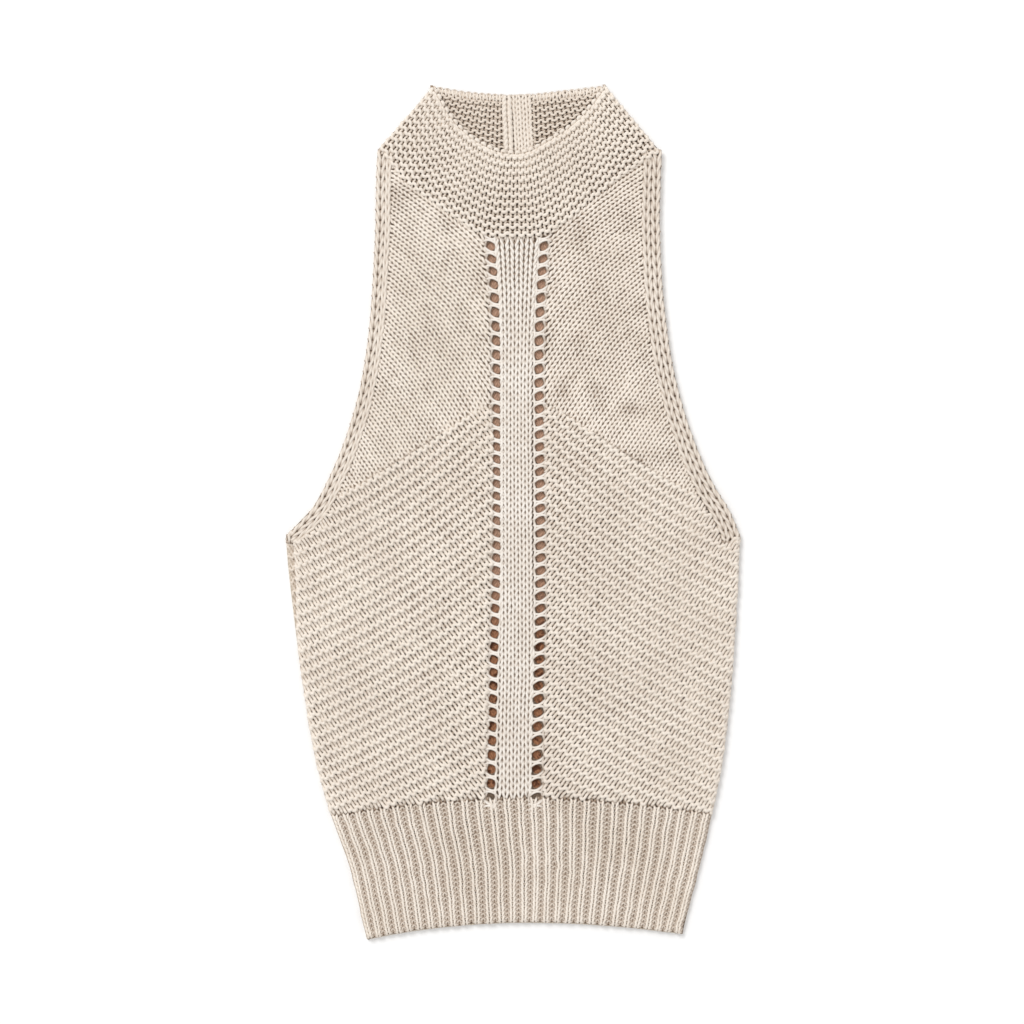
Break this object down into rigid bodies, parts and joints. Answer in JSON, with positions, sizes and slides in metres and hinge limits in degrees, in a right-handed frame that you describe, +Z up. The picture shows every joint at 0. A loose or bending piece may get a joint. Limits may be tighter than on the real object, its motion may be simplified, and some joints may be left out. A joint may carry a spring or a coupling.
{
  "type": "halter knit top",
  "caption": "Sleeveless halter knit top laid flat: tall garter collar, stockinette yokes, garter side panels, centre panel with ladders of eyelets, ribbed hem.",
  "frame": {"origin": "on the floor under the middle of the laid-out garment's outline", "axes": "+X to the viewer's right, +Y from the hem towards the collar, +Z up from the floor through the back and then the front"},
  "size_m": [0.3277, 0.6156, 0.0079],
  "materials": {
    "knit_front": "matt cream cotton yarn, knitted, soft and slightly uneven",
    "knit_back": "matt cream cotton yarn, knitted, seen in the shade of the front",
    "knit_trim": "matt cream cotton yarn in a thick knitted chain"
  },
  "bodies": {
    "root": {"back_panel": "knit_back", "back_hem_rib": "knit_back", "back_armhole_band_left": "knit_trim", "back_armhole_band_right": "knit_trim", "collar_back_left": "knit_back", "collar_back_right": "knit_back", "opening_band_left": "knit_trim", "opening_band_right": "knit_trim", "front_garter_left": "knit_front", "front_garter_right": "knit_front", "front_yoke_left": "knit_front", "front_yoke_right": "knit_front", "front_armhole_band_left": "knit_trim", "front_armhole_band_right": "knit_trim", "front_centre_panel": "knit_front", "front_hem_rib": "knit_front", "collar_front": "knit_front"}
  },
  "joints": []
}
